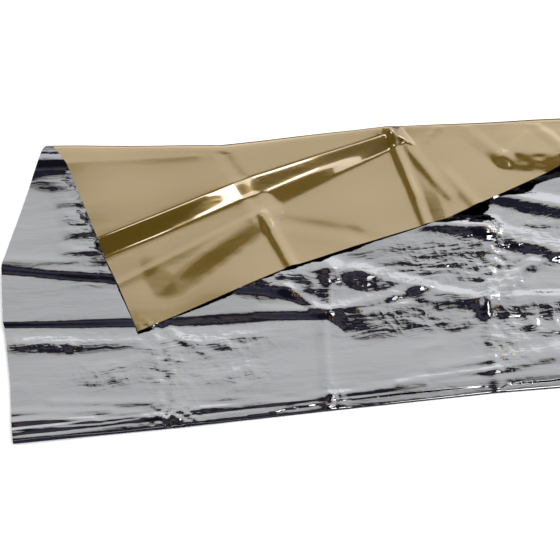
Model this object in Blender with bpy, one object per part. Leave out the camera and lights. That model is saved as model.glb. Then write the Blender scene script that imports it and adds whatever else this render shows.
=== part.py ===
"""Emergency foil blanket, opened out of its pocket folds and laid down in three loose layers.

One rectangle of silver and gold film. An under layer lies flat on the ground, with what is over
tucked forward on top of it from the back. At the front fold the sheet turns back over itself,
silver side up, and runs back over two low pocket-fold noses. At the back it rolls up and over,
and comes forward again as a gold flap with a slanting free edge.
X runs along the length, +Y to the back, +Z up. The origin is the bottom centre of the box.
"""
import bpy
import numpy as np

for old in list(bpy.data.objects):
    bpy.data.objects.remove(old, do_unlink=True)

# Sizes, in metres
MM = 0.001
THICKNESS = 0.001          # solid thickness that stands in for the film
LAID_LENGTH = 2.03         # the 2.1 m sheet as it lies, drawn up a little by its wrinkles
PITCH = LAID_LENGTH / 8    # spacing of the pocket folds that cross the length
HALF = THICKNESS / 2       # middle of the film when the film lies on the ground
CROSS_STEP = 0.011         # half width of a crossing pocket crease
CORNER_ROWS = 2            # grid rows that round each lengthwise fold
DRAPE = 0.0012             # height of the slow waves in the loose layers
LIFTED = 0.005             # film lower than this rests on what is under it and has no waves
LONGEST_SHARE = 0.45       # most of a flat that the rounding of one fold may take

# Places along the length where a fold line changes direction: left end, creases 1 and 2, just
# past crease 2, crease 3, right end
PAST = 0.025               # how far past crease 2 its star of facets has settled
STATIONS = (0.0, PITCH, 2 * PITCH, 2 * PITCH + PAST, 3 * PITCH, LAID_LENGTH)

# Every lengthwise fold, in order across the sheet from the edge that is tucked in, in mm.
# reach: how far the rounding spreads, strips: rows on the flat up to the next fold,
# slide: shift along X at the left end and from crease 2 on, y and z: at the six stations.
FLAT = HALF / MM
FOLDS = (
    # fold       reach strips  slide   y: left, 1, 2, past 2, 3, right   z: the same
    ("tuck edge", 0, 1, (30, 25), (324, 152, 92, 92, 76, 86), (2.8,) * 6),
    ("tuck back", 2, 0, (60, 30), (490, 482, 486, 486, 484, 470), (2.8,) * 6),
    ("back ground", 2, 1, (60, 30), (490, 482, 486, 486, 484, 470), (FLAT,) * 6),
    ("front under", 3, 0, (0, -10), (13, 21, 33, 34, 44, 62), (FLAT,) * 6),
    ("front over", 3, 1, (0, -10), (14, 22, 34, 35, 45, 63), (7, 6, 3.5, 3, 3, 3)),
    ("low rise", 10, 2, (-5, -7), (120, 118, 112, 112, 114, 126), (7, 8, 7, 7, 7, 7)),
    ("nose 1 foot", 4, 0, (-15, -5), (220, 200, 196, 168, 172, 190), (9, 8, 8, 7, 7, 7)),
    ("nose 1 top", 4, 1, (-17, -5), (225, 215, 211, 209, 211, 223), (14, 14, 14, 17, 15, 13)),
    ("nose 2 foot", 5, 0, (-20, 0), (318, 271, 221, 261, 265, 275), (18, 17, 14.5, 17, 15, 14)),
    ("nose 2 top", 5, 1, (-20, 2), (328, 282, 278, 278, 283, 291), (24, 24, 28, 19, 17, 16)),
    ("back crease", 8, 1, (24, 62), (476, 452, 451, 447, 429, 422), (30, 28, 28, 34, 34, 32)),
    ("roll foot", 16, 0, (38, 110), (521, 501, 513, 523, 522, 496), (40, 36, 38, 36, 34, 32)),
    ("roll back", 14, 0, (54, 123), (536, 515, 535, 545, 546, 515), (72, 70, 68, 53, 49, 46)),
    ("roll top", 9, 1, (72, 123), (522, 503, 525, 535, 533, 502), (86, 84, 82, 67, 62, 58)),
    ("flap crease", 4, 1, (93, 126), (487, 485, 519, 529, 523, 482), (82, 81, 81, 66, 60, 57)),
    ("ridge top", 3, 1, (140, 129), (347, 441, 514, 522, 516, 454), (60, 72, 79, 64, 59, 55)),
    ("ridge foot", 5, 1, (149, 138), (326, 417, 508, 510, 504, 437), (34, 50, 72, 61, 58, 53)),
    ("flap fold", 5, 1, (169, 152), (275, 390, 503, 488, 491, 400), (27, 41, 61, 58, 56, 50)),
    ("free edge", 0, 0, (197, 180), (193, 286, 353, 356, 453, 358), (13, 30, 37, 42, 50, 36)),
)

# Creases and dents pressed into the two upper layers, in mm, in plan before the box is centred.
# layer, start (x, y), end (x, y), height at start and at end (below 0 is a trough), half width
CREASES = (
    ("silver", (238, 30), (233, 210), -2.0, -2.5, 12),
    ("silver", (233, 215), (240, 440), -2.5, -3.0, 13),
    ("silver", (494, 45), (500, 205), 3.0, 4.5, 10),
    ("silver", (500, 205), (520, 440), 4.5, 3.0, 11),
    ("silver", (756, 55), (758, 203), 3.0, 4.5, 11),
    ("silver", (758, 203), (800, 430), 5.5, 3.0, 13),
    ("silver", (350, 246), (500, 212), 4.0, 1.0, 12),
    ("silver", (504, 262), (740, 225), -5.0, -1.5, 16),
    ("silver", (520, 190), (720, 160), 3.5, 2.0, 16),
    ("silver", (640, 352), (900, 272), 4.0, 3.0, 15),
    ("flap", (352, 490), (409, 380), -2.0, -4.0, 12),
    ("flap", (409, 380), (450, 284), -4.0, -2.5, 12),
    ("flap", (410, 394), (620, 505), 3.0, 2.0, 12),
    ("flap", (631, 515), (690, 351), 4.0, 3.0, 11),
    ("flap", (660, 505), (720, 352), -3.0, -2.5, 11),
    ("flap", (866, 500), (900, 440), 3.0, 4.0, 12),
)
FIRST_SILVER = "front over"
FIRST_FLAP = "flap crease"


def column_places():
    """Places of the grid columns along the length: three on each crossing crease, and evenly
    spaced ones between, close together over the left half where the sheet is most creased."""
    places = [0.0]
    for crease in range(1, 8):
        centre = crease * PITCH
        between = 6 if crease <= 3 else 2
        start = places[-1]
        stop = centre - CROSS_STEP
        for number in range(1, between + 1):
            places.append(start + (stop - start) * number / (between + 1))
        places.extend((stop, centre, centre + CROSS_STEP))
    places.extend(np.linspace(places[-1], LAID_LENGTH, 5)[1:])
    return np.array(places)


def fold_line(fold, along):
    """Points of one fold line: every value is read off straight lines between the stations."""
    slide = np.interp(along, (0.0, 2 * PITCH), fold[3]) * MM
    y = np.interp(along, STATIONS, fold[4]) * MM
    z = np.interp(along, STATIONS, fold[5]) * MM
    return np.stack((along + slide, y, z), axis=1)


def towards(here, there, reach):
    """Point a distance reach from here on the line to there, and less on a short flat."""
    step = there - here
    length = np.linalg.norm(step, axis=1, keepdims=True)
    return here + step * np.minimum(reach / length, LONGEST_SHARE)


def sheet_rows(along):
    """Rows of the middle surface across the sheet. A fold is a short parabola that leaves one
    flat and joins the next; the flats between folds are straight strips."""
    lines = [fold_line(fold, along) for fold in FOLDS]
    rows = [lines[0]]
    layers = ["under"]
    layer = "under"
    leaving = lines[0]
    for number in range(1, len(FOLDS)):
        name, reach = FOLDS[number][:2]
        here = lines[number]
        last = number == len(FOLDS) - 1
        arriving = here if last else towards(here, lines[number - 1], reach * MM)
        strips = FOLDS[number - 1][2]
        for strip in range(1, strips + 1):
            share = strip / (strips + 1)
            rows.append(leaving + (arriving - leaving) * share)
            layers.append(layer)
        if name == FIRST_SILVER:
            layer = "silver"
        if name == FIRST_FLAP:
            layer = "flap"
        if last:
            rows.append(here)
            layers.append(layer)
            break
        leaving = towards(here, lines[number + 1], reach * MM)
        for step in range(CORNER_ROWS):
            t = (step + 0.5) / CORNER_ROWS
            rows.append((1 - t) ** 2 * arriving + 2 * t * (1 - t) * here + t ** 2 * leaving)
            layers.append(layer)
    return np.stack(rows), np.array(layers)


def crease_height(points, crease):
    """Height one crease adds: a soft tent across its line, running from its start height to its
    end height and fading out past both ends."""
    start = np.array(crease[1]) * MM
    line = np.array(crease[2]) * MM - start
    length = np.linalg.norm(line)
    offset = points[..., :2] - start
    share = offset @ line / length ** 2
    beyond = np.maximum(np.abs(share - 0.5) - 0.5, 0.0) * length
    across = np.abs(offset[..., 0] * line[1] - offset[..., 1] * line[0]) / length
    distance = np.hypot(across, beyond) / (crease[5] * MM)
    height = (crease[3] + (crease[4] - crease[3]) * np.clip(share, 0.0, 1.0)) * MM
    return height * np.clip(1.0 - distance, 0.0, 1.0)


def wrinkled(rows, layers):
    """Adds the pressed creases and slow uneven waves to the silver layer and the flap."""
    for crease in CREASES:
        chosen = layers == crease[0]
        rows[chosen, :, 2] += crease_height(rows[chosen], crease)
    x = rows[..., 0]
    y = rows[..., 1]
    wave = np.sin(31 * x + 9 * y) + np.sin(17 * x - 23 * y + 1.3) * np.sin(47 * y + 5 * x)
    loose = np.isin(layers, ("silver", "flap"))
    rows[loose, :, 2] += DRAPE * (1 + wave[loose] / 2) * (rows[loose, :, 2] > LIFTED)
    return rows


def normals(rows):
    """Unit normals of the middle surface: the steps along and across the sheet, crossed."""
    along = np.gradient(rows, axis=1)
    across = np.gradient(rows, axis=0)
    normal = np.cross(along, across)
    return normal / np.linalg.norm(normal, axis=2, keepdims=True)


def sheet_solid(name, rows, silver, gold):
    """Closed shell: the middle surface moved half a thickness each way and joined at its rim."""
    count_across, count_along = rows.shape[:2]
    normal = normals(rows)
    upper = rows + normal * HALF
    lower = rows - normal * HALF
    points = np.concatenate((upper.reshape(-1, 3), lower.reshape(-1, 3)))
    low = points.min(axis=0)
    high = points.max(axis=0)
    points -= np.array(((low[0] + high[0]) / 2, (low[1] + high[1]) / 2, low[2]))
    index = np.arange(count_across * count_along).reshape(count_across, count_along)
    a = index[:-1, :-1].ravel()
    b = index[:-1, 1:].ravel()
    c = index[1:, 1:].ravel()
    d = index[1:, :-1].ravel()
    far = count_across * count_along
    top = np.concatenate((np.stack((a, b, c), 1), np.stack((a, c, d), 1)))
    bottom = top[:, ::-1] + far
    ring = np.concatenate((index[0, :], index[1:, -1], index[-1, -2::-1], index[-2:0:-1, 0]))
    after = np.roll(ring, -1)
    rim = np.concatenate((np.stack((ring, ring + far, after + far), 1),
                          np.stack((ring, after + far, after), 1)))
    faces = np.concatenate((top, bottom, rim))
    mesh = bpy.data.meshes.new(name)
    mesh.from_pydata(points.tolist(), [], faces.tolist())
    mesh.materials.append(silver)
    mesh.materials.append(gold)
    gold_face = np.zeros(len(faces), dtype=np.int32)
    gold_face[len(top):len(top) + len(bottom)] = 1
    mesh.polygons.foreach_set("material_index", gold_face)
    mesh.update()
    sheet = bpy.data.objects.new(name, mesh)
    bpy.context.scene.collection.objects.link(sheet)
    print(name, len(faces), "triangles", (high - low).round(4), "m")
    return sheet


def foil(name, colour, roughness):
    """Metal film material."""
    material = bpy.data.materials.new(name)
    material.use_nodes = True
    shader = material.node_tree.nodes["Principled BSDF"]
    shader.inputs["Base Color"].default_value = (*colour, 1.0)
    shader.inputs["Metallic"].default_value = 1.0
    shader.inputs["Roughness"].default_value = roughness
    return material


silver_film = foil("silver_film", (0.80, 0.81, 0.83), 0.12)
gold_film = foil("gold_film", (0.86, 0.66, 0.33), 0.25)
grid, grid_layers = sheet_rows(column_places())
sheet_solid("foil_sheet", wrinkled(grid, grid_layers), silver_film, gold_film)
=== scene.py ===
# %% [markdown]
# An emergency foil blanket is one rectangle of polyester film, silver on one face and gold on
# the other. It left its pocket pack in small rectangles, so fold creases cross it at an even
# spacing. Here it lies opened out in three loose layers: an under layer flat on the ground, a
# silver layer turned back over it from the front fold, and a gold flap that rolls forward from
# the back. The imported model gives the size, and this script makes the film and its finish.

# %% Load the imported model
import math
import bpy
import numpy as np
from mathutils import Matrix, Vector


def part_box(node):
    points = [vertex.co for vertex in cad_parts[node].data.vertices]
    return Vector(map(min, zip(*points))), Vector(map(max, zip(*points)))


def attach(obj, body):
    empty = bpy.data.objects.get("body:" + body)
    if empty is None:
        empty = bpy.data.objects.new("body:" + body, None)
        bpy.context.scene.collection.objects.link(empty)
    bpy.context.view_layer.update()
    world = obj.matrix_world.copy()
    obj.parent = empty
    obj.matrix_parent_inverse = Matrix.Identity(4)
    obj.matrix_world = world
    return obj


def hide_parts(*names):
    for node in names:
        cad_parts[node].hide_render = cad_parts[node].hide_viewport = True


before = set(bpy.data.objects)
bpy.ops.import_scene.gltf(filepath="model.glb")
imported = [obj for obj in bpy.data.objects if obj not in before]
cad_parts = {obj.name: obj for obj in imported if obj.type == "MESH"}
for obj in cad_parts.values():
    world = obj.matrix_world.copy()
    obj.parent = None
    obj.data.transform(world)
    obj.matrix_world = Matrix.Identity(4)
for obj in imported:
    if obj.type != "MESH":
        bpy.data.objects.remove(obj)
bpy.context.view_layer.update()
LOW, HIGH = (np.array(corner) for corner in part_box("foil_sheet"))
print("packed sheet", (HIGH - LOW).round(4), "m")

# %% [markdown]
# The film as it lies is set by a short table: one row for each lengthwise fold, in order across
# the sheet, with its place at six stations along the length. A real blanket's folds run
# straight between the creases that cross them, so straight lines between the stations are the
# true shape, and only the folds themselves are rounded. Plan places in the tables are in
# millimetres from the left end of the front fold.

# %% Sizes of the laid sheet
MM = 0.001
FILM = 0.0002               # thickness shown, more than real film so that both faces render
LAID_LENGTH = 2.03          # drawn up a little by its wrinkles
PITCH = LAID_LENGTH / 8     # spacing of the pocket creases
PAST = 0.025                # how far past crease 2 its star of facets has settled
STATIONS = (0.0, PITCH, 2 * PITCH, 2 * PITCH + PAST, 3 * PITCH, LAID_LENGTH)
DOWN = FILM / 2 / MM        # middle of film that lies on the ground

FOLDS = (
    # fold       reach rows  slide   y: left, 1, 2, past 2, 3, right   z: the same
    ("tuck edge", 0, 1, (30, 25), (324, 152, 92, 92, 76, 86), (2.8,) * 6),
    ("tuck back", 2, 0, (60, 30), (490, 482, 486, 486, 484, 470), (2.8,) * 6),
    ("back ground", 2, 2, (60, 30), (490, 482, 486, 486, 484, 470), (DOWN,) * 6),
    ("front under", 3, 0, (0, -10), (13, 21, 33, 34, 44, 62), (DOWN,) * 6),
    ("front over", 3, 12, (0, -10), (14, 22, 34, 35, 45, 63), (7, 6, 3.5, 3, 3, 3)),
    ("front lines", 4, 13, (-2, -9), (44, 50, 58, 59, 66, 84), (8, 8, 6.5, 6.5, 7, 7)),
    ("low rise", 10, 14, (-5, -7), (120, 118, 112, 112, 114, 126), (7, 8, 7, 7, 7, 7)),
    ("nose 1 foot", 4, 3, (-15, -5), (220, 200, 196, 168, 172, 190), (9, 8, 8, 7, 7, 7)),
    ("nose 1 top", 4, 12, (-17, -5), (225, 215, 211, 209, 211, 223), (14, 14, 14, 17, 15, 13)),
    ("nose 2 foot", 5, 6, (-20, 0), (318, 271, 221, 261, 265, 275), (18, 17, 14.5, 17, 15, 14)),
    ("nose 2 top", 5, 28, (-20, 2), (328, 282, 278, 278, 283, 291), (24, 24, 28, 19, 17, 16)),
    ("back crease", 8, 4, (24, 62), (476, 452, 451, 447, 429, 422), (30, 28, 28, 34, 34, 32)),
    ("roll foot", 16, 1, (38, 110), (521, 501, 513, 523, 522, 496), (40, 36, 38, 36, 34, 32)),
    ("roll back", 14, 1, (54, 123), (536, 515, 535, 545, 546, 515), (72, 70, 68, 53, 49, 46)),
    ("roll top", 9, 2, (72, 123), (522, 503, 525, 535, 533, 502), (86, 84, 82, 67, 62, 58)),
    ("flap crease", 4, 12, (93, 126), (487, 485, 519, 529, 523, 482), (82, 81, 81, 66, 60, 57)),
    ("ridge top", 3, 5, (140, 129), (347, 441, 514, 522, 516, 454), (60, 72, 79, 64, 59, 55)),
    ("ridge foot", 5, 9, (149, 138), (326, 417, 508, 510, 504, 437), (34, 50, 72, 61, 58, 53)),
    ("flap fold", 5, 16, (169, 152), (275, 390, 503, 488, 491, 400), (27, 41, 61, 58, 56, 50)),
    ("free edge", 0, 0, (197, 180), (193, 286, 353, 356, 453, 358), (13, 30, 37, 42, 50, 36)),
)
FIRST_SILVER = "front over"     # the fold where the silver layer starts
FIRST_FLAP = "flap crease"      # the fold where the flap starts
print(len(FOLDS), "lengthwise folds, pocket creases", round(PITCH, 4), "m apart")

# %% [markdown]
# The surface is a grid of rows and columns. A column stands at one place along the length and
# crosses every layer. Wrinkles need columns a few millimetres apart, so they are close together
# over the left half, where the sheet is most creased, and spread out over the plain right half.

# %% Columns along the sheet
NEAR_STEP = 0.0043          # between columns over the creased half
NEAR_END = 0.96             # where the creased half ends
FAR_COLUMNS = 24
FAR_SPREAD = 1.3            # above 1, the far columns get wider and wider apart


def column_places():
    """Even steps up to the end of the creased half, then end + rest * share ** spread."""
    near = np.arange(0.0, NEAR_END, NEAR_STEP)
    share = np.linspace(0, 1, FAR_COLUMNS)
    far = NEAR_END + (LAID_LENGTH - NEAR_END) * share ** FAR_SPREAD
    return np.concatenate((near, far))


print(len(column_places()), "columns")

# %% [markdown]
# A row follows one line along the length. The flats between folds are straight strips, so they
# need few rows. A fold is a short parabola through three points, which leaves one flat and joins
# the next without a kink, and costs only three rows.

# %% Rows across the sheet
CORNER_ROWS = 3
MOST_SHARE = 0.45           # most of a flat that the rounding of one fold may take


def fold_line(fold, along):
    """One fold line: each value is read off straight lines between the stations."""
    slide = np.interp(along, (0.0, 2 * PITCH), fold[3]) * MM
    y = np.interp(along, STATIONS, fold[4]) * MM
    z = np.interp(along, STATIONS, fold[5]) * MM
    return np.stack((along + slide, y, z), axis=1)


def towards(here, there, reach):
    """here + step * reach / length of the step, and less than half of the way on a short flat."""
    step = there - here
    length = np.linalg.norm(step, axis=1, keepdims=True)
    return here + step * np.minimum(reach * MM / length, MOST_SHARE)


def sheet_rows(along):
    """Rows of the middle surface and each row's layer. Flats are straight strips, and a fold is
    (1-t)^2 arriving + 2t(1-t) corner + t^2 leaving."""
    lines = [fold_line(fold, along) for fold in FOLDS]
    rows, layers, layer = [lines[0]], ["under"], "under"
    leaving = lines[0]
    for number in range(1, len(FOLDS)):
        name, reach = FOLDS[number][:2]
        here = lines[number]
        last = number == len(FOLDS) - 1
        arriving = here if last else towards(here, lines[number - 1], reach)
        strips = FOLDS[number - 1][2]
        for strip in range(1, strips + 1):
            rows.append(leaving + (arriving - leaving) * strip / (strips + 1))
            layers.append(layer)
        layer = {FIRST_SILVER: "silver", FIRST_FLAP: "flap"}.get(name, layer)
        if last:
            rows.append(here)
            layers.append(layer)
            break
        leaving = towards(here, lines[number + 1], reach)
        for step in range(CORNER_ROWS):
            t = (step + 0.5) / CORNER_ROWS
            rows.append((1 - t) ** 2 * arriving + 2 * t * (1 - t) * here + t ** 2 * leaving)
            layers.append(layer)
    return np.stack(rows), np.array(layers)


rows, layers = sheet_rows(column_places())
print("grid", rows.shape[0], "rows by", rows.shape[1], "columns")

# %% [markdown]
# Film doesn't stretch, so it buckles into flat facets that meet at sharp straight creases. A cloth
# simulation would settle into soft round folds instead, so each crease here is given one by one,
# as
# a row of a table: where it starts and ends, how high it stands and how wide it is on each side.
# Side one is on the right of someone who walks from start to end. Below 0 it is a trough.

# %% Creases placed one by one
CREASES = (
    # layer, start (x, y), end (x, y), height at start, at end, width on side one, on side two
    ("silver", (238, 24), (233, 205), -1.0, -1.4, 8, 8),
    ("silver", (490, 36), (494, 200), 1.2, 2.0, 5, 13),
    ("silver", (490, 200), (498, 330), -2.0, -2.0, 10, 10),
    ("silver", (754, 50), (758, 203), 1.2, 2.0, 13, 9),
    ("silver", (758, 203), (800, 430), 2.4, 1.6, 16, 15),
    # left of the second crossing: a crest line, and steep facets behind it and in front of it
    ("silver", (490, 214), (441, 249), 3.0, 3.4, 8, 10),
    ("silver", (441, 251), (364, 261), 3.4, 1.6, 14, 8),
    ("silver", (402, 246), (490, 250), 1.0, 2.0, 16, 8),
    ("silver", (494, 205), (400, 216), 2.0, 1.0, 10, 10),
    # right of the second crossing: a broad fold, a thin ridge, steep patches in front of it
    ("silver", (507, 284), (560, 272), 3.6, 4.6, 26, 17),
    ("silver", (560, 272), (655, 238), 4.6, 5.0, 27, 18),
    ("silver", (655, 238), (758, 206), 5.0, 3.0, 24, 14),
    ("silver", (505, 206), (610, 224), 2.4, 2.6, 9, 14),
    ("silver", (610, 224), (700, 252), 2.6, 1.0, 9, 14),
    ("silver", (560, 196), (660, 212), 2.0, 2.0, 24, 9),
    ("silver", (560, 168), (720, 178), 2.6, 2.6, 16, 18),
    ("silver", (640, 128), (672, 134), 1.0, 1.0, 7, 8),
    ("silver", (700, 164), (730, 170), 1.6, 1.4, 7, 8),
    ("silver", (590, 352), (745, 340), 9.0, 9.0, 95, 40),
    # beyond the third crossing
    ("silver", (640, 368), (774, 334), 3.5, 6.0, 15, 26),
    ("silver", (774, 334), (905, 284), 6.0, 6.5, 17, 26),
    ("silver", (790, 408), (905, 372), 6.0, 7.0, 20, 22),
    ("silver", (758, 203), (840, 268), 2.8, 3.0, 12, 14),
    ("silver", (840, 268), (900, 284), 3.0, 2.6, 12, 14),
    ("silver", (762, 203), (905, 198), 4.0, 9.0, 50, 18),
    ("silver", (780, 96), (900, 118), 2.0, 2.8, 12, 14),
    # lengthwise lines by the front fold
    ("silver", (0, 30), (238, 40), 1.4, 1.2, 5, 5),
    ("silver", (0, 46), (120, 44), 1.4, 1.0, 5, 7),
    ("silver", (0, 62), (150, 54), 1.4, 1.0, 5, 7),
    ("silver", (60, 76), (230, 62), 1.0, 1.2, 5, 7),
    ("silver", (250, 44), (494, 54), 1.1, 1.0, 4, 5),
    ("silver", (494, 58), (640, 66), 1.2, 1.0, 4, 6),
    ("silver", (600, 70), (756, 84), 1.2, 1.6, 5, 6),
    ("silver", (660, 92), (750, 100), 1.4, 2.0, 8, 12),
    ("silver", (740, 78), (900, 104), 1.6, 2.2, 6, 8),
    # under the first nose
    ("silver", (4, 190), (90, 180), 1.6, 2.4, 14, 5),
    ("silver", (90, 180), (195, 178), 2.4, 2.0, 14, 6),
    ("silver", (230, 176), (330, 166), 1.6, 1.4, 8, 12),
    ("silver", (250, 190), (300, 150), 1.6, 1.0, 8, 10),
    # the crushed patch behind the second nose
    ("silver", (60, 484), (150, 452), 1.0, 5.0, 20, 14),
    ("silver", (86, 450), (170, 410), 2.0, 5.0, 18, 14),
    ("silver", (92, 420), (180, 380), 1.5, 5.0, 18, 14),
    ("silver", (96, 386), (180, 352), 2.0, 4.0, 18, 12),
    ("silver", (90, 352), (175, 336), 1.5, 4.0, 14, 12),
    ("silver", (-18, 338), (150, 326), 1.4, 2.0, 6, 8),
    # the flap
    ("flap", (352, 490), (409, 380), -0.6, -1.0, 14, 12),
    ("flap", (411, 382), (452, 283), 3.0, 3.0, 9, 12),
    ("flap", (93, 487), (310, 486), 0.5, 0.3, 4, 5),
    ("flap", (165, 275), (405, 384), 0.7, 0.8, 5, 5),
    ("flap", (262, 284), (402, 380), 3.6, 9.6, 27, 70),
    ("flap", (411, 382), (560, 340), -1.0, -0.7, 16, 12),
    ("flap", (560, 340), (612, 318), -0.7, -0.5, 14, 12),
    # the pinch at the back, and its rays
    ("flap", (631, 524), (665, 405), 1.6, 1.4, 6, 9),
    ("flap", (636, 524), (676, 352), 2.0, 2.4, 7, 10),
    ("flap", (642, 526), (720, 400), 1.6, 1.6, 9, 12),
    ("flap", (719, 528), (700, 510), 1.6, 1.0, 8, 9),
    ("flap", (723, 436), (768, 372), 1.6, 2.0, 13, 11),
    ("flap", (770, 520), (823, 462), 1.0, 2.6, 18, 12),
    ("flap", (823, 462), (866, 500), 2.6, 1.0, 18, 12),
    ("flap", (884, 520), (926, 470), 1.6, 2.0, 12, 12),
    ("flap", (850, 470), (925, 460), 7.0, 8.0, 32, 60),
)
print(len(CREASES), "creases in the table")

# %% [markdown]
# One crease adds a tent to the height of its layer: two flat slopes that meet in a ridge. The
# ridge is rounded a little, because film bends round a small radius, and the tent fades past both
# ends of its line, so that no cliff is left in the film.

# %% Height of one crease
FADE = 1.6                  # a crease fades past its ends over this many of its lesser widths
SOFT = 2.5 * MM             # rounding along the top of a crease


def crease_height(points, crease):
    """Height * (1 - away). Away is the root of (distance / width)^2 + (way past an end / fade)^2,
    with a soft term that rounds the top, and the height runs evenly from start to end."""
    start = np.array(crease[1]) * MM
    line = np.array(crease[2]) * MM - start
    length = np.linalg.norm(line)
    offset = points[..., :2] - start
    share = offset @ line / length ** 2
    beyond = np.maximum(np.abs(share - 0.5) - 0.5, 0.0) * length
    side = (offset[..., 0] * line[1] - offset[..., 1] * line[0]) / length
    width = np.where(side > 0, crease[5], crease[6]) * MM
    past_end = beyond / (FADE * min(crease[5:7]) * MM)
    away = np.sqrt((side / width) ** 2 + past_end ** 2 + (SOFT / width) ** 2) - SOFT / width
    tent = np.clip(1.0 - away, 0.0, 1.0)
    return (crease[3] + (crease[4] - crease[3]) * np.clip(share, 0.0, 1.0)) * MM * tent


for crease in CREASES:
    chosen = layers == crease[0]
    rows[chosen, :, 2] += crease_height(rows[chosen], crease)
print("highest point of the creased film", rows[..., 2].max().round(4), "m")

# %% [markdown]
# Where two pocket folds cross, the film was crushed to a point and never lies flat again. A
# crumple is the mean of folded planes in a few directions, each a triangle wave of the distance
# along its direction. Their creases cross like the facets of screwed-up foil.

# %% Crumples where folds cross
CRUMPLES = (
    # layer, centre (x, y), radius along x, along y, height, facets per metre, stretch along x
    ("silver", (244, 130), 30, 55, 1.7, 45, 1.0),
    ("silver", (330, 168), 90, 22, 1.6, 45, 2.5),
    ("silver", (246, 40), 38, 16, 3.2, 60, 1.2),
    ("silver", (500, 60), 16, 24, 1.0, 70, 1.0),
    ("silver", (503, 210), 22, 20, 1.5, 60, 1.0),
    ("silver", (440, 270), 60, 24, 1.6, 40, 1.5),
    ("silver", (620, 184), 100, 26, 2.0, 40, 2.5),
    ("silver", (580, 256), 60, 24, 1.2, 45, 2.5),
    ("silver", (690, 290), 80, 50, 2.0, 60, 5.0),
    ("silver", (778, 262), 44, 54, 2.4, 40, 1.0),
    ("silver", (775, 120), 34, 36, 1.8, 50, 1.0),
    ("silver", (860, 165), 90, 50, 3.2, 32, 1.6),
    ("silver", (850, 320), 90, 50, 1.6, 36, 2.2),
    ("silver", (138, 395), 44, 75, 4.0, 32, 1.6),
    ("silver", (340, 108), 60, 30, 0.8, 40, 2.0),
    ("silver", (150, 118), 50, 22, 0.9, 40, 2.0),
    ("silver", (60, 186), 90, 14, 1.2, 60, 3.0),
    ("flap", (880, 446), 36, 26, 1.2, 50, 1.0),
    ("flap", (631, 518), 16, 10, 0.8, 70, 1.0),
    ("flap", (210, 200), 16, 12, 0.8, 90, 1.0),
)
DIRECTIONS = 5              # folded planes in one crumple
UNEVEN = (0.6, 1.6)         # least and most facets per metre, as shares of the row's number
FIRST_SEED = 7
crumpled = np.zeros(rows.shape[:2])


def folded_planes(x, y, facets, dice):
    """Mean of triangle waves 4 * |part of a facet - 0.5| - 1 in random directions."""
    total = 0.0
    for turn in dice.uniform(0, math.pi, DIRECTIONS):
        distance = (x * math.cos(turn) + y * math.sin(turn)) * facets * dice.uniform(*UNEVEN)
        total = total + 4 * np.abs((distance + dice.random()) % 1.0 - 0.5) - 1
    return total / DIRECTIONS


for number, crumple in enumerate(CRUMPLES):
    layer, (x, y), wide, deep, height, facets, stretch = crumple
    dice = np.random.default_rng(number + FIRST_SEED)
    chosen = layers == layer
    dx = rows[chosen, :, 0] - x * MM
    dy = rows[chosen, :, 1] - y * MM
    window = np.exp(-((dx / (wide * MM)) ** 2 + (dy / (deep * MM)) ** 2))
    rows[chosen, :, 2] += height * MM * window * folded_planes(dx / stretch, dy, facets, dice)
    crumpled[chosen] += window
print(len(CRUMPLES), "crumples over", (crumpled > 0.1).mean().round(3), "of the grid")

# %% [markdown]
# Just behind the front fold the film is bunched into long thin ropes, most of all at the left
# end. They are the same folded planes, stretched along the fold, in a band that follows it.

# %% Ropes behind the front fold
ROPES = 130                 # folded planes per metre across the bunch
ROPE_STRETCH = 14           # how much longer than wide a rope is
ROPE_BAND = 0.014           # half width of the bunch
ROPE_PLACES = (0.0, 0.24, 0.5, 1.0)     # along the length, for the two rows below
ROPE_HEIGHTS = (3.2, 1.8, 0.8, 1.0)     # mm
ROPE_MIDDLES = (24, 22, 32, 40)         # mm behind the front fold
ROPE_SEED = 3
names = [fold[0] for fold in FOLDS]
front_fold = FOLDS[names.index(FIRST_SILVER)]
along = rows[..., 0]
behind = rows[..., 1] - np.interp(along, STATIONS, front_fold[4]) * MM
rope_height = np.interp(along, ROPE_PLACES, ROPE_HEIGHTS) * MM
rope_middle = np.interp(along, ROPE_PLACES, ROPE_MIDDLES) * MM
bunch = np.exp(-((behind - rope_middle) / ROPE_BAND) ** 2) * (layers == "silver")[:, None]
ropes = folded_planes(along / ROPE_STRETCH, behind, ROPES, np.random.default_rng(ROPE_SEED))
rows[..., 2] += rope_height * bunch * ropes
print("highest rope", (rope_height * bunch * ropes).max().round(4), "m")

# %% [markdown]
# Between the creases the loose layers swell and dip a little. Slow sine waves along and across
# the sheet, of different lengths, never repeat over the visible part.

# %% Slow waves in the loose layers
DRAPE = 0.0012              # mean height of the waves
LIFTED = 0.005              # film lower than this rests on what is under it and has no waves
LONG_WAVE = (31, 9, 0.0)    # radians per metre along x and along y, and a start in radians
SLANT_WAVE = (17, -23, 1.3)
CROSS_WAVE = (5, 47, 0.0)


def sine(grid, wave):
    """Sine of (first * x + second * y + start)."""
    return np.sin(wave[0] * grid[..., 0] + wave[1] * grid[..., 1] + wave[2])


swell = sine(rows, LONG_WAVE) + sine(rows, SLANT_WAVE) * sine(rows, CROSS_WAVE)
loose = (layers != "under")[:, None] & (rows[..., 2] > LIFTED)
rows[..., 2] += np.where(loose, DRAPE * (1 + swell / 2), 0.0)
print("waves on", loose.mean().round(2), "of the grid")

# %% [markdown]
# Real film is about 0.012 mm thick, far too thin to model. The middle surface is moved a tenth
# of a millimetre each way along its normals and the two faces are joined round the rim, which
# gives one closed shell with a silver face and a gold face. A mirror shows every unevenness of
# its shading, so the shell carries its own normals. They are worked out from the grid's steps,
# where a long step counts for more than a short one, so a flat stays flat up to its fold.

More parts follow.
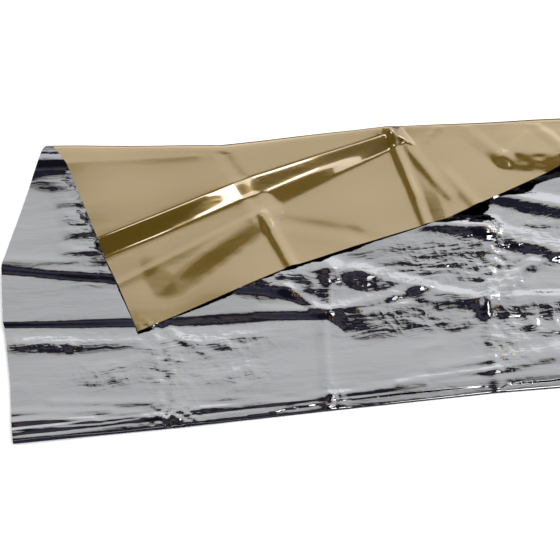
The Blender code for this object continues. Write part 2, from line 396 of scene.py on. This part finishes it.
# %% The film as one closed shell
def unit_normals(grid):
    """Steps along the sheet crossed with steps across it, divided by their length."""
    normal = np.cross(np.gradient(grid, axis=1), np.gradient(grid, axis=0))
    return normal / np.linalg.norm(normal, axis=2, keepdims=True)


def film_mesh(name, grid, silver, gold):
    """Grid plus and minus normal * thickness / 2, and a rim of quads between the two."""
    across, along = grid.shape[:2]
    normal = unit_normals(grid)
    points = np.concatenate([(grid + side * normal * FILM / 2).reshape(-1, 3) for side in (1, -1)])
    index = np.arange(across * along).reshape(across, along)
    corners = (index[:-1, :-1], index[:-1, 1:], index[1:, 1:], index[1:, :-1])
    top = np.stack([corner.ravel() for corner in corners], axis=1)
    bottom = top[:, ::-1] + across * along
    ring = np.concatenate((index[0, :], index[1:, -1], index[-1, -2::-1], index[-2:0:-1, 0]))
    after = np.roll(ring, -1)
    rim = np.stack((ring, ring + across * along, after + across * along, after), axis=1)
    faces = np.concatenate((top, bottom, rim))
    mesh = bpy.data.meshes.new(name)
    mesh.from_pydata(points.tolist(), [], faces.tolist())
    mesh.materials.append(silver)
    mesh.materials.append(gold)
    gold_face = np.zeros(len(faces), dtype=np.int32)
    gold_face[len(top):len(top) + len(bottom)] = 1
    mesh.polygons.foreach_set("material_index", gold_face)
    mesh.shade_smooth()
    both = np.concatenate([(side * normal).reshape(-1, 3) for side in (1, -1)])
    mesh.normals_split_custom_set_from_vertices(both.tolist())
    return mesh


print("film", FILM / MM, "mm thick")

# %% [markdown]
# The tables count from the left end of the front fold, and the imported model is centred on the
# origin, so the whole grid is shifted by one amount. The object itself stays at the origin. Each
# point also keeps how crumpled the film is there, which the finish reads later.

# %% The blanket in its place
silver_film = bpy.data.materials.new("silver_film")
gold_film = bpy.data.materials.new("gold_film")
shift = np.array((LOW[0] - rows[..., 0].min(), LOW[1] - rows[..., 1].min(), 0.0))
blanket = bpy.data.objects.new("foil_blanket", film_mesh("foil_blanket", rows + shift,
                                                         silver_film, gold_film))
bpy.context.scene.collection.objects.link(blanket)
on_points = blanket.data.attributes.new("crumpled", "FLOAT", "POINT")
on_points.data.foreach_set("value", np.tile(np.clip(crumpled, 0, 1).ravel(), 2))
print("shift", shift.round(4), "triangles", 2 * len(blanket.data.polygons))

# %% [markdown]
# Shader maths is easier to read as expressions. A Wire is one output socket of a node, and an
# expression on wires adds the Math nodes that work it out. Any other node comes from node().

# %% A small shader kit
class Wire:
    """One output socket. Arithmetic on wires adds Math nodes."""

    def __init__(self, graph, socket):
        self.graph, self.socket = graph, socket

    def maths(self, operation, first, second):
        """A Math node: first operation second."""
        return self.graph.node("ShaderNodeMath", {"operation": operation}, {0: first, 1: second})

    def __add__(self, other):
        return self.maths("ADD", self, other)

    def __sub__(self, other):
        return self.maths("SUBTRACT", self, other)

    def __rsub__(self, other):
        return self.maths("SUBTRACT", other, self)

    def __mul__(self, other):
        return self.maths("MULTIPLY", self, other)

    __radd__, __rmul__ = __add__, __mul__


class Graph:
    """Nodes of one material or world."""

    def __init__(self, owner):
        owner.use_nodes = True
        self.tree = owner.node_tree
        self.tree.nodes.clear()

    def node(self, kind, settings=None, inputs=None, output=0):
        """Adds a node: its settings first, then its sockets' values or links."""
        made = self.tree.nodes.new(kind)
        for name, value in (settings or {}).items():
            if name == "stops":
                self.fill_ramp(made.color_ramp, value)
            else:
                setattr(made, name, value)
        for name, value in (inputs or {}).items():
            if isinstance(value, Wire):
                self.tree.links.new(value.socket, made.inputs[name])
            else:
                made.inputs[name].default_value = value
        return Wire(self, made.outputs[output]) if len(made.outputs) else made

    def fill_ramp(self, ramp, stops):
        """Stops are (place, colour), in order."""
        while len(ramp.elements) > 1:
            ramp.elements.remove(ramp.elements[-1])
        for number, (place, colour) in enumerate(stops):
            element = ramp.elements[0] if number == 0 else ramp.elements.new(place)
            element.position = place
            element.color = (*colour, 1.0)


print("wires add, subtract and multiply")

# %% [markdown]
# The large creases are in the mesh. Bump adds what is finer: long faint wrinkles that run along
# the sheet, and small facets that are stronger where the film was crumpled. Noise bends the
# places that both are worked out from, so that no line in them is quite straight.

# %% Fine wrinkles
BEND_SCALE = 14.0               # bends per metre
BEND = 0.03                     # how far a place is moved, in metres
WRINKLE_SCALE = (6, 55, 30)     # long wrinkles per metre along x, y and z
FACET_SCALE = 45.0              # facets per metre
SMALL_SCALE = 110.0             # small facets per metre
SMALL_SHARE = 0.4               # height of a small facet as a share of a large one
CALM = 0.1                      # share of the facets that is left in smooth film
STRONGER = 2.6                  # how much the long wrinkles grow where the film is crumpled


def wrinkle_height(graph, long_height, facet_height):
    """Wrinkles * (1 + stronger * crumpled) + (facets + small ones) * (calm + rest * crumpled),
    in metres, from object places and the crumpled value of each point."""
    place = graph.node("ShaderNodeTexCoord", output="Object")
    noise = graph.node("ShaderNodeTexNoise", {}, {"Vector": place, "Scale": BEND_SCALE}, "Color")
    moved = graph.node("ShaderNodeVectorMath", {"operation": "MULTIPLY_ADD"},
                       {0: noise, 1: (BEND, BEND, BEND), 2: place})
    stretched = graph.node("ShaderNodeMapping", {}, {"Vector": moved, "Scale": WRINKLE_SCALE})
    wrinkles = graph.node("ShaderNodeTexNoise", {}, {"Vector": stretched, "Scale": 1.0,
                                                     "Detail": 3.0, "Roughness": 0.5})
    facets, small = (graph.node("ShaderNodeTexVoronoi", {"feature": "F1"},
                                {"Vector": moved, "Scale": scale})
                     for scale in (FACET_SCALE, SMALL_SCALE))
    crumpled_here = graph.node("ShaderNodeAttribute", {"attribute_name": "crumpled"}, output="Fac")
    rough_patch = crumpled_here * (1 - CALM) + CALM
    streaks = wrinkles * long_height * (crumpled_here * STRONGER + 1.0)
    return streaks + (facets + small * SMALL_SHARE) * rough_patch * facet_height


print("small facets", round(1 / SMALL_SCALE, 4), "m apart")

# %% [markdown]
# Silver film is plain bright metal, so what shows on it is the room. Gold film is the same metal
# under a yellow lacquer. Its flats look pale, because the lacquer's surface mirrors the light part
# of the room uncoloured, and faces that mirror the dark part show the deep yellow below. A coat
# with a high index gives both in one shader.

# %% Silver and gold finish
COAT_INDEX = 4.0
COAT_ROUGHNESS = 0.04
FINISHES = (
    # material, colour, metallic, roughness, index, coat, height of wrinkles and of facets in m
    (silver_film, (0.95, 0.95, 0.96), 1.0, 0.05, 1.5, 0.0, 0.0010, 0.0014),
    (gold_film, (0.80, 0.48, 0.02), 0.6, 0.16, 7.0, 1.0, 0.0004, 0.0004),
)


def metal_film(material, colour, metallic, roughness, index, coat, long_height, facet_height):
    """Metal mixed with a dielectric of the given index, bumped, under a smooth clear coat."""
    graph = Graph(material)
    height = wrinkle_height(graph, long_height, facet_height)
    bump = graph.node("ShaderNodeBump", {}, {"Height": height, "Distance": 1.0, "Strength": 1.0},
                      "Normal")
    shader = graph.node("ShaderNodeBsdfPrincipled", {}, {
        "Base Color": (*colour, 1.0), "Metallic": metallic, "Roughness": roughness,
        "IOR": index, "Coat Weight": coat, "Coat Roughness": COAT_ROUGHNESS,
        "Coat IOR": COAT_INDEX, "Normal": bump})
    graph.node("ShaderNodeOutputMaterial", {}, {"Surface": shader})


for finish in FINISHES:
    metal_film(*finish)
    print(finish[0].name, len(finish[0].node_tree.nodes), "nodes")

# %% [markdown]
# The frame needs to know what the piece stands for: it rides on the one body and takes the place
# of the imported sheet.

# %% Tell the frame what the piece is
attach(blanket, "root")
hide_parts("foil_sheet")
print(blanket.name, "rides on root")

# %% [markdown]
# The ground is one large pale square, a hair below the film so that the two never fight for the
# same place. It is left out of what the film mirrors, or the steep folds would show it and lose
# their dark bands.

# %% Ground
FLOOR_HALF = 12.0
FLOOR_Z = -0.0002
ground = bpy.data.meshes.new("ground")
ground.from_pydata([(-FLOOR_HALF, -FLOOR_HALF, FLOOR_Z), (FLOOR_HALF, -FLOOR_HALF, FLOOR_Z),
                    (FLOOR_HALF, FLOOR_HALF, FLOOR_Z), (-FLOOR_HALF, FLOOR_HALF, FLOOR_Z)],
                   [], [(0, 1, 2, 3)])
floor = bpy.data.objects.new("ground", ground)
bpy.context.scene.collection.objects.link(floor)
pale = bpy.data.materials.new("pale_ground")
graph = Graph(pale)
graph.node("ShaderNodeOutputMaterial", {}, {"Surface": graph.node(
    "ShaderNodeBsdfPrincipled", {}, {"Base Color": (0.92, 0.92, 0.92, 1), "Roughness": 0.9})})
ground.materials.append(pale)
floor.visible_glossy = False
print("ground", 2 * FLOOR_HALF, "m square")

# %% [markdown]
# The room decides the look of a mirror, so it is planned like a light tent. Light grey from the
# back horizon to nearly overhead gives the flats their grey. From there down to the front it is
# dark, which gives the steep folds their dark bands, and a low strip at the front is light again.
# Far to the sides it is plain grey, and below the horizon it is dark.

# %% Room light
LEAN = 0.2                      # how far the light and dark parts lean over to one side
GREY_FROM, GREY_TO = 0.62, 0.80     # how far to the side the plain grey starts and is full
SIDE_GREY = (0.40, 0.405, 0.415, 1.0)
BELOW_HORIZON = (0.02, 0.02, 0.035, 1.0)
ROOM = (
    # share of the half turn from the back horizon over the top to the front horizon, colour
    (0.00, (0.55, 0.56, 0.60)),
    (0.08, (0.70, 0.71, 0.74)),
    (0.17, (0.66, 0.67, 0.70)),
    (0.22, (0.48, 0.49, 0.50)),
    (0.31, (0.44, 0.445, 0.455)),
    (0.38, (0.38, 0.385, 0.395)),
    (0.415, (0.33, 0.33, 0.335)),
    (0.43, (0.20, 0.195, 0.185)),
    (0.452, (0.17, 0.165, 0.155)),
    (0.462, (0.014, 0.014, 0.022)),
    (0.53, (0.012, 0.012, 0.024)),
    (0.56, (0.06, 0.045, 0.04)),
    (0.59, (0.03, 0.03, 0.05)),
    (0.65, (0.02, 0.02, 0.035)),
    (0.69, (0.006, 0.006, 0.010)),
    (0.92, (0.006, 0.006, 0.010)),
    (0.95, (0.34, 0.345, 0.36)),
    (1.00, (0.46, 0.46, 0.48)),
)
world = bpy.data.worlds.new("room")
bpy.context.scene.world = world
graph = Graph(world)
direction = graph.node("ShaderNodeTexCoord", output="Generated")
across = graph.node("ShaderNodeSeparateXYZ", {}, {"Vector": direction}, "X")
ahead, up = (Wire(graph, across.socket.node.outputs[name]) for name in "YZ")
angle = graph.node("ShaderNodeMath", {"operation": "ARCTAN2"}, {0: up, 1: ahead})
turn = graph.node("ShaderNodeMath", {"operation": "ABSOLUTE"}, {0: angle * (1 / math.pi)})
shade = graph.node("ShaderNodeValToRGB", {"stops": ROOM}, {"Fac": turn - across * LEAN})
sideways = graph.node("ShaderNodeMath", {"operation": "ABSOLUTE"}, {0: across})
grey_share = graph.node("ShaderNodeMapRange", {}, {"Value": sideways, "From Min": GREY_FROM,
                                                   "From Max": GREY_TO})
is_below = graph.node("ShaderNodeMath", {"operation": "LESS_THAN"}, {0: up, 1: 0.0})
for share, colour in ((grey_share, SIDE_GREY), (is_below, BELOW_HORIZON)):
    # sockets 6 and 7 of a Mix node are its two colours, and output 2 is the mixed one
    shade = graph.node("ShaderNodeMix", {"data_type": "RGBA"},
                       {"Factor": share, 6: shade, 7: colour}, 2)
graph.node("ShaderNodeOutputWorld", {}, {"Surface": graph.node(
    "ShaderNodeBackground", {}, {"Color": shade, "Strength": 1.0})})
print("room light from", len(ROOM), "stops")

# %% [markdown]
# Five soft boxes stand round the blanket. The large one overhead lights the ground and isn't
# mirrored. The four others are weak: they only make bright spots where a fold mirrors them, such
# as the long highlight on the gold ridge.

# %% Lamps
AIM = (LOW[0] + 0.47, 0.0, 0.03)
LAMPS = (
    # name, place (x from the aim, y, z), watts, size, whether the film mirrors it
    ("soft_box_over", (0.0, 0.3, 3.2), 140.0, 3.0, False),
    ("key_box", (0.78, -1.36, 2.27), 1.7, 0.5, True),
    ("key_fill", (1.03, -0.90, 2.35), 0.9, 0.6, True),
    ("side_box", (2.2, 1.0, 1.6), 2.0, 0.9, True),
    ("far_box", (-2.2, 1.2, 1.4), 2.0, 0.8, True),
)


def soft_box(name, place, watts, size, mirrored):
    """A square lamp whose tilt is the angle between straight down and the line to the aim, and
    whose turn is that line's direction in plan."""
    light = bpy.data.lights.new(name, "AREA")
    light.energy = watts
    light.size = size
    shone = bpy.data.objects.new(name, light)
    stands_at = np.array((AIM[0] + place[0], place[1], place[2]))
    to_aim = np.array(AIM) - stands_at
    shone.location = stands_at
    shone.rotation_euler = (math.atan2(math.hypot(to_aim[0], to_aim[1]), -to_aim[2]), 0.0,
                            math.atan2(to_aim[1], to_aim[0]) - math.pi / 2)
    shone.visible_glossy = mirrored
    bpy.context.scene.collection.objects.link(shone)


for box in LAMPS:
    soft_box(*box)
print(len(LAMPS), "soft boxes")

# %% [markdown]
# The camera stands in front and above, and looks down at 56 degrees. Its lens is long, so the
# lengthwise folds stay nearly parallel, as they look from a few metres away.

# %% Camera
ELEVATION = math.radians(56.0)
AZIMUTH = math.radians(-4.5)
DISTANCE = 2.673
LENS = 106.07                   # mm
MIDDLE = (0.43, 0.27, 0.02)     # what it looks at, counted from the left end of the front fold
camera = bpy.data.cameras.new("camera")
camera.lens = LENS
viewer = bpy.data.objects.new("camera", camera)
looks_at = np.array(MIDDLE) + shift
back = np.array((math.sin(AZIMUTH) * math.cos(ELEVATION),
                 -math.cos(AZIMUTH) * math.cos(ELEVATION), math.sin(ELEVATION)))
viewer.location = looks_at + back * DISTANCE
viewer.rotation_euler = (math.pi / 2 - ELEVATION, 0.0, AZIMUTH)
bpy.context.scene.collection.objects.link(viewer)
bpy.context.scene.camera = viewer
bpy.context.scene.view_settings.view_transform = "Standard"
print("camera at", np.array(viewer.location).round(3))
